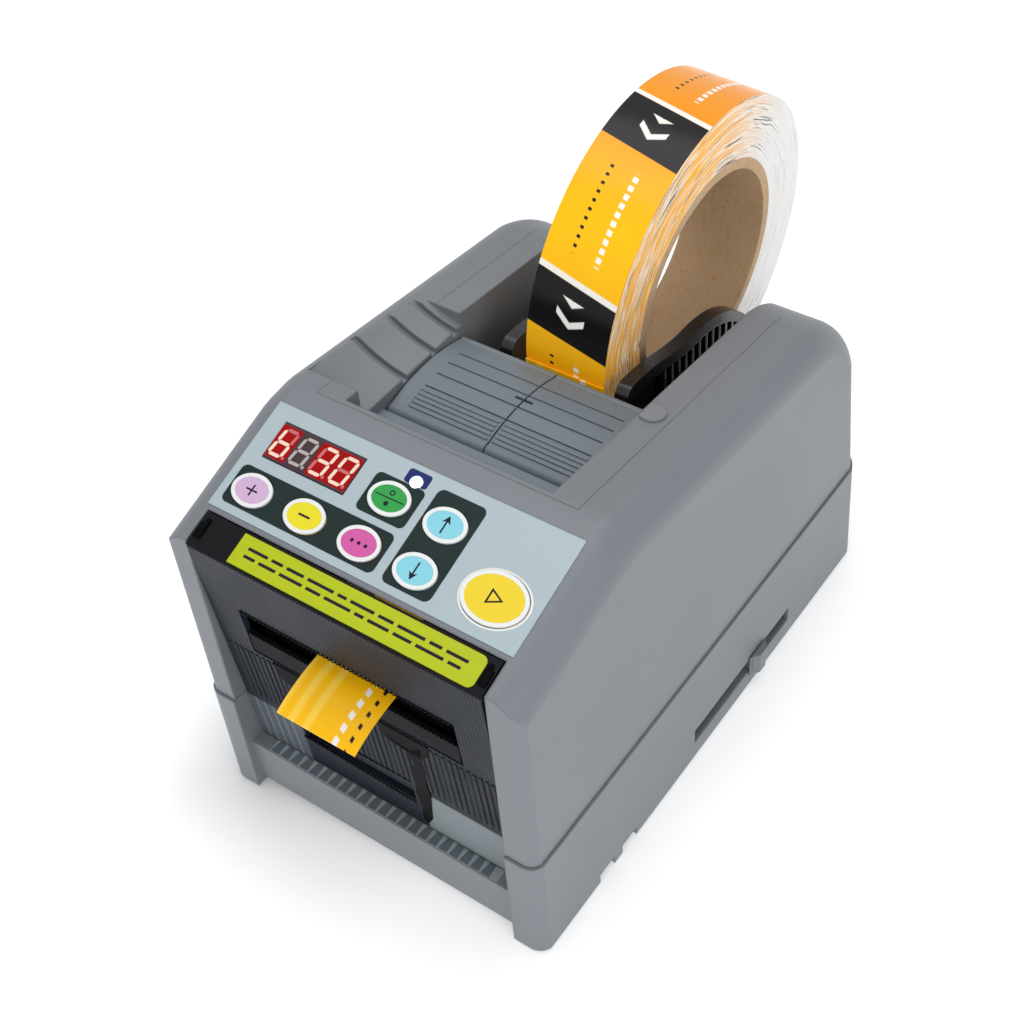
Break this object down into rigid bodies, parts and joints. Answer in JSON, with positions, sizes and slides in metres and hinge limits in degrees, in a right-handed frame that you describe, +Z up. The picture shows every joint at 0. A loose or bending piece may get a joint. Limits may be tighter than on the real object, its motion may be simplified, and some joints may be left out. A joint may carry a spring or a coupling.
{
  "type": "electric tape dispenser",
  "caption": "Desk machine that feeds tape from a loose roll in a rear well and cuts it to length: sloped key panel, swinging smoky guard, powered blade, ribbed feed cover.",
  "frame": {"origin": "on the resting plane, below the middle of the whole object's box", "axes": "+Z up, the front with the tape outlet faces -Y, +X to the right of someone who faces the front"},
  "size_m": [0.143, 0.273, 0.2024],
  "materials": {
    "base_grey": "fine moulded texture",
    "housing_grey": "fine moulded texture",
    "foot_rubber": "matte",
    "screw_steel": "satin",
    "label_silver": "satin film",
    "display_red": "gloss",
    "lens_blue": "gloss",
    "board_green": "lacquer",
    "key_lilac": "satin film",
    "key_yellow": "satin film",
    "key_magenta": "satin film",
    "key_green": "satin film",
    "key_cyan": "satin film",
    "key_amber": "satin film",
    "guard_smoke": "gloss",
    "plate_lime": "satin",
    "comb_grey": "satin",
    "plate_steel": "zinc plated",
    "blade_dark": "blackened",
    "blade_steel": "ground",
    "carrier_dark": "satin",
    "shaft_steel": "ground",
    "motor_grey": "satin",
    "gear_ivory": "satin",
    "black_plastic": "satin",
    "tyre_silicone": "matte",
    "pinion_brass": "satin",
    "roller_black": "matte",
    "roller_white": "satin",
    "cover_grey": "satin",
    "feed_grey": "satin",
    "tab_grey": "satin",
    "well_grey": "satin",
    "guide_black": "gloss",
    "tape_amber": "gloss film",
    "core_card": "matte",
    "web_amber": "gloss film",
    "tail_amber": "gloss film",
    "slider_grey": "satin",
    "bezel_black": "gloss",
    "rocker_black": "gloss"
  },
  "bodies": {
    "housing": {"lower_base": "base_grey", "upper_housing": "housing_grey", "rubber_feet": "foot_rubber", "base_screws": "screw_steel", "panel_label": "label_silver", "display_module": "display_red", "status_lens": "lens_blue", "key_board": "board_green", "comb_panel": "comb_grey", "left_plate": "plate_steel", "right_plate": "plate_steel", "plate_spacers": "plate_steel", "fixed_blade": "blade_dark", "guide_posts": "shaft_steel", "cutter_motor": "motor_grey", "tape_presser": "black_plastic", "feed_motor": "motor_grey", "feed_plate": "feed_grey", "cover_tab": "tab_grey", "roll_well": "well_grey", "cradle_shafts": "shaft_steel", "guide_rods": "shaft_steel", "tape_web": "web_amber", "tape_tail": "tail_amber", "tape_sensor": "black_plastic", "power_inlet": "black_plastic", "rocker_bezel": "bezel_black", "power_board": "board_green"},
    "guard": {"front_guard": "guard_smoke", "guard_plate": "plate_lime"},
    "cutter": {"moving_blade": "blade_steel", "blade_carrier": "carrier_dark"},
    "cutter_drive": {"cutter_pinion": "gear_ivory"},
    "feed_drive": {"drive_shaft": "shaft_steel", "drive_tyres": "tyre_silicone", "drive_gear": "gear_ivory"},
    "feed_pinion": {"motor_pinion": "pinion_brass"},
    "pinch": {"pinch_roller": "roller_black"},
    "turn": {"turn_roller": "roller_white"},
    "cover": {"cover_left": "cover_grey", "cover_right": "cover_grey", "cover_pin": "shaft_steel"},
    "cradle_front": {"front_cradle_roller": "roller_black"},
    "cradle_rear": {"rear_cradle_roller": "roller_black"},
    "guide_left": {"roll_guide_left": "guide_black"},
    "guide_right": {"roll_guide_right": "guide_black"},
    "roll": {"tape_roll": "tape_amber", "cardboard_core": "core_card"},
    "slider": {"side_slider": "slider_grey"},
    "switch": {"rocker": "rocker_black"},
    "button_plus": {"key_plus": "key_lilac"},
    "button_minus": {"key_minus": "key_yellow"},
    "button_select": {"key_select": "key_magenta"},
    "button_mode": {"key_mode": "key_green"},
    "button_up": {"key_up": "key_cyan"},
    "button_down": {"key_down": "key_cyan"},
    "button_start": {"key_start": "key_amber"}
  },
  "joints": [
    {"name": "roll_spin", "type": "hinge", "parent": "housing", "child": "roll", "pos_m": [0, 0.07055, 0.1356], "axis": [0.998, 0, -0.0628], "continuous": true},
    {"name": "feed_spin", "type": "hinge", "parent": "housing", "child": "feed_drive", "pos_m": [0, -0.07405, 0.0876], "axis": [1, 0, 0], "continuous": true},
    {"name": "pinion_spin", "type": "hinge", "parent": "housing", "child": "feed_pinion", "pos_m": [0, -0.05798, 0.06845], "axis": [1, 0, 0], "continuous": true},
    {"name": "pinch_spin", "type": "hinge", "parent": "housing", "child": "pinch", "pos_m": [0, -0.07405, 0.1034], "axis": [1, 0, 0], "continuous": true},
    {"name": "turn_spin", "type": "hinge", "parent": "housing", "child": "turn", "pos_m": [0, -0.00445, 0.1054], "axis": [1, 0, 0], "continuous": true},
    {"name": "cradle_front_spin", "type": "hinge", "parent": "housing", "child": "cradle_front", "pos_m": [0, 0.0361, 0.0708], "axis": [1, 0, 0], "continuous": true},
    {"name": "cradle_rear_spin", "type": "hinge", "parent": "housing", "child": "cradle_rear", "pos_m": [0, 0.08203, 0.06311], "axis": [1, 0, 0], "continuous": true},
    {"name": "guard_swing", "type": "hinge", "parent": "housing", "child": "guard", "pos_m": [0, -0.11618, 0.12931], "axis": [-1, 0, 0], "range_deg": [0, 55]},
    {"name": "cover_lift", "type": "hinge", "parent": "housing", "child": "cover", "pos_m": [0, -0.04005, 0.13252], "axis": [1, 0, 0], "range_deg": [0, 75]},
    {"name": "blade_drop", "type": "slide", "parent": "housing", "child": "cutter", "axis": [0, 0, -1], "range_m": [0, 0.008]},
    {"name": "cutter_spin", "type": "hinge", "parent": "housing", "child": "cutter_drive", "pos_m": [0, -0.09705, 0.114], "axis": [1, 0, 0], "range_deg": [0, 80]},
    {"name": "guide_right_slide", "type": "slide", "parent": "housing", "child": "guide_right", "axis": [1, 0, 0], "range_m": [0, 0.013]},
    {"name": "guide_left_slide", "type": "slide", "parent": "housing", "child": "guide_left", "axis": [-1, 0, 0], "range_m": [0, 0.013]},
    {"name": "slider_slide", "type": "slide", "parent": "housing", "child": "slider", "axis": [0, 1, 0], "range_m": [-0.039, 0.019]},
    {"name": "switch_tilt", "type": "hinge", "parent": "housing", "child": "switch", "pos_m": [0.042, 0.09783, 0.02658], "axis": [1, 0, 0], "range_deg": [0, 16]},
    {"name": "press_plus", "type": "slide", "parent": "housing", "child": "button_plus", "axis": [0, 0.3239, -0.9461], "range_m": [0, 0.0005], "stiffness_N_per_m": 400},
    {"name": "press_minus", "type": "slide", "parent": "housing", "child": "button_minus", "axis": [0, 0.3239, -0.9461], "range_m": [0, 0.0005], "stiffness_N_per_m": 400},
    {"name": "press_select", "type": "slide", "parent": "housing", "child": "button_select", "axis": [0, 0.3239, -0.9461], "range_m": [0, 0.0005], "stiffness_N_per_m": 400},
    {"name": "press_mode", "type": "slide", "parent": "housing", "child": "button_mode", "axis": [0, 0.3239, -0.9461], "range_m": [0, 0.0005], "stiffness_N_per_m": 400},
    {"name": "press_up", "type": "slide", "parent": "housing", "child": "button_up", "axis": [0, 0.3239, -0.9461], "range_m": [0, 0.0005], "stiffness_N_per_m": 400},
    {"name": "press_down", "type": "slide", "parent": "housing", "child": "button_down", "axis": [0, 0.3239, -0.9461], "range_m": [0, 0.0005], "stiffness_N_per_m": 400},
    {"name": "press_start", "type": "slide", "parent": "housing", "child": "button_start", "axis": [0, 0.3239, -0.9461], "range_m": [0, 0.0005], "stiffness_N_per_m": 400}
  ],
  "couplings": [
    {"joint": "feed_spin", "follows": "roll_spin", "ratio": 7.3333},
    {"joint": "pinion_spin", "follows": "roll_spin", "ratio": -18.857},
    {"joint": "pinch_spin", "follows": "roll_spin", "ratio": -11},
    {"joint": "turn_spin", "follows": "roll_spin", "ratio": -8.25},
    {"joint": "cradle_front_spin", "follows": "roll_spin", "ratio": -11},
    {"joint": "cradle_rear_spin", "follows": "roll_spin", "ratio": -11},
    {"joint": "cutter_spin", "follows": "blade_drop", "rad_per_m": 166.67},
    {"joint": "guide_left_slide", "follows": "guide_right_slide", "ratio": 1}
  ]
}
